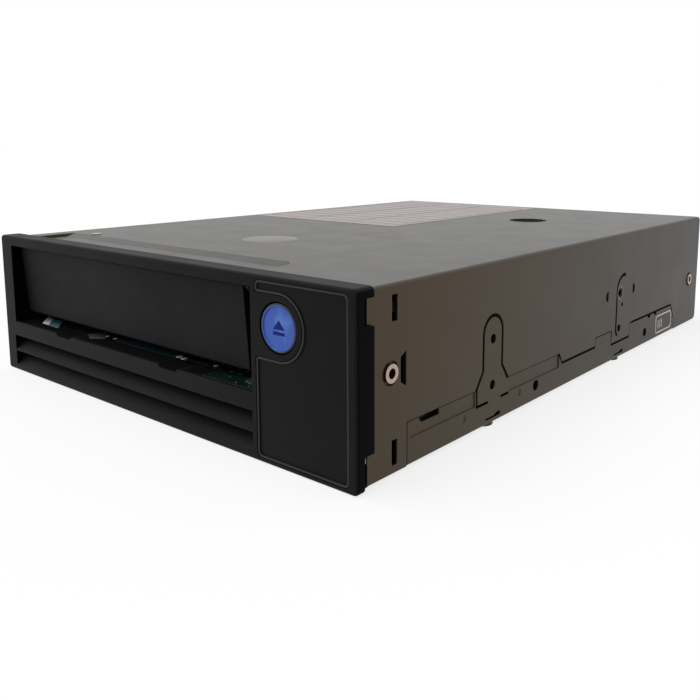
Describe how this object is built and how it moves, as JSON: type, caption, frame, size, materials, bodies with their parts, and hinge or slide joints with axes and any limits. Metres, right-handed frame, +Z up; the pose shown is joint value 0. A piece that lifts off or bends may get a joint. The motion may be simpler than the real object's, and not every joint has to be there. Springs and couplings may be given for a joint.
{
  "type": "data tape drive",
  "caption": "Half-height internal cartridge tape drive: black bezel with hinged slot door, louvres and eject button, on a folded steel case.",
  "frame": {"origin": "middle of the drive's outline, on the surface it stands on", "axes": "+X right seen from the front, -Y out of the bezel, +Z up"},
  "size_m": [0.148, 0.21, 0.0426],
  "materials": {
    "bezel_plastic": "moulded, fine texture",
    "panel_plastic": "satin insert",
    "button_plastic": "moulded blue",
    "black_plastic": "moulded",
    "gear_plastic": "acetal",
    "brass_gear": "cut brass",
    "spring_steel": "drawn wire",
    "pin_steel": "ground",
    "screw_steel": "nickel plated",
    "cover_steel": "zinc-coated sheet, satin",
    "tray_steel": "zinc-coated sheet, satin",
    "loader_steel": "bright sheet",
    "deck_aluminium": "die cast",
    "reel_aluminium": "turned",
    "roller_steel": "ground",
    "motor_can": "drawn can",
    "head_ceramic": "lapped",
    "circuit_board": "glass-epoxy laminate",
    "chip_resin": "moulded resin",
    "connector_shield": "plated sheet",
    "lamp_lens": "clear resin",
    "label_paper": "blank label stock"
  },
  "bodies": {
    "chassis": {"base_tray": "tray_steel", "bezel": "bezel_plastic", "blank_label": "label_paper", "board_chips": "chip_resin", "button_spring": "spring_steel", "deck_plate": "deck_aluminium", "deck_screws": "screw_steel", "door_hinge_pin": "pin_steel", "door_spring": "spring_steel", "eject_switch": "black_plastic", "ethernet_jack": "connector_shield", "fan_frame": "black_plastic", "front_panel_board": "circuit_board", "gear_shaft": "pin_steel", "head_bracket": "loader_steel", "head_guide_rods": "pin_steel", "head_stepper": "motor_can", "host_connector": "black_plastic", "library_port": "connector_shield", "loader_motor": "motor_can", "loader_rail_left": "black_plastic", "loader_rail_right": "black_plastic", "main_logic_board": "circuit_board", "rear_panel": "tray_steel", "side_screws": "screw_steel", "status_lamps": "lamp_lens", "status_panel": "panel_plastic", "supply_motor_board": "circuit_board", "supply_motor_stator": "motor_can", "takeup_motor_stator": "motor_can", "tape_path_base": "deck_aluminium", "top_cover": "cover_steel", "top_rivet": "screw_steel"},
    "button": {"eject_button": "button_plastic"},
    "door": {"cartridge_door": "bezel_plastic"},
    "carriage": {"loader_carriage": "loader_steel"},
    "tray": {"cartridge_tray": "loader_steel"},
    "cams": {"cam_plate_left": "loader_steel", "cam_plate_right": "loader_steel"},
    "gear": {"reduction_gear": "gear_plastic"},
    "motor_rotor": {"motor_pinion": "brass_gear"},
    "chuck": {"supply_reel_chuck": "gear_plastic"},
    "reel": {"takeup_reel": "reel_aluminium"},
    "roller_1": {"guide_roller_1": "roller_steel"},
    "roller_2": {"guide_roller_2": "roller_steel"},
    "roller_3": {"guide_roller_3": "roller_steel"},
    "roller_4": {"guide_roller_4": "roller_steel"},
    "head": {"head_carriage": "deck_aluminium", "head_block": "head_ceramic"},
    "lead_screw": {"head_lead_screw": "pin_steel"},
    "fan": {"fan_rotor": "black_plastic"}
  },
  "joints": [
    {"name": "eject_press", "type": "slide", "parent": "chassis", "child": "button", "axis": [0, 1, 0], "range_m": [0, 0.0012], "stiffness_N_per_m": 800, "springref_m": -0.0005, "deforming": ["button_spring"]},
    {"name": "door_swing", "type": "hinge", "parent": "chassis", "child": "door", "pos_m": [0, -0.1013, 0.0386], "axis": [1, 0, 0], "range_deg": [0, 84], "stiffness_Nm_per_rad": 0.004, "springref_deg": -17.19, "deforming": ["door_spring"]},
    {"name": "loader_travel", "type": "slide", "parent": "chassis", "child": "carriage", "axis": [0, 1, 0], "range_m": [0, 0.02]},
    {"name": "tray_lower", "type": "slide", "parent": "carriage", "child": "tray", "axis": [0, 0, -1], "range_m": [0, 0.005]},
    {"name": "cam_slide", "type": "slide", "parent": "carriage", "child": "cams", "axis": [0, 1, 0], "range_m": [0, 0.008]},
    {"name": "gear_turn", "type": "hinge", "parent": "chassis", "child": "gear", "pos_m": [0.05205, -0.055, 0.0275], "axis": [0, 0, 1], "range_deg": [-180, 0]},
    {"name": "motor_turn", "type": "hinge", "parent": "chassis", "child": "motor_rotor", "pos_m": [0.05861, -0.04719, 0.0275], "axis": [0, 0, 1], "range_deg": [0, 431]},
    {"name": "chuck_spin", "type": "hinge", "parent": "chassis", "child": "chuck", "pos_m": [-0.01225, -0.047, 0.0146], "axis": [0, 0, 1], "continuous": true},
    {"name": "reel_spin", "type": "hinge", "parent": "chassis", "child": "reel", "pos_m": [-0.012, 0.0535, 0.0151], "axis": [0, 0, 1], "continuous": true},
    {"name": "roller_spin_1", "type": "hinge", "parent": "chassis", "child": "roller_1", "pos_m": [0.0505, -0.009, 0.015], "axis": [0, 0, 1], "continuous": true},
    {"name": "roller_spin_2", "type": "hinge", "parent": "chassis", "child": "roller_2", "pos_m": [0.065, -0.0015, 0.015], "axis": [0, 0, 1], "continuous": true},
    {"name": "roller_spin_3", "type": "hinge", "parent": "chassis", "child": "roller_3", "pos_m": [0.065, 0.0305, 0.015], "axis": [0, 0, 1], "continuous": true},
    {"name": "roller_spin_4", "type": "hinge", "parent": "chassis", "child": "roller_4", "pos_m": [0.055, 0.039, 0.015], "axis": [0, 0, 1], "continuous": true},
    {"name": "head_lift", "type": "slide", "parent": "chassis", "child": "head", "axis": [0, 0, 1], "range_m": [-0.0045, 0.0045]},
    {"name": "lead_screw_turn", "type": "hinge", "parent": "chassis", "child": "lead_screw", "pos_m": [0.0515, 0.0145, 0.02], "axis": [0, 0, 1], "range_deg": [-811, 811]},
    {"name": "fan_spin", "type": "hinge", "parent": "chassis", "child": "fan", "pos_m": [0.0505, 0.098, 0.02045], "axis": [0, 1, 0], "continuous": true}
  ],
  "couplings": [
    {"joint": "gear_turn", "follows": "loader_travel", "rad_per_m": -156.25},
    {"joint": "motor_turn", "follows": "loader_travel", "rad_per_m": 375},
    {"joint": "cam_slide", "follows": "tray_lower", "ratio": 1.6},
    {"joint": "lead_screw_turn", "follows": "head_lift", "rad_per_m": 3141.6}
  ]
}
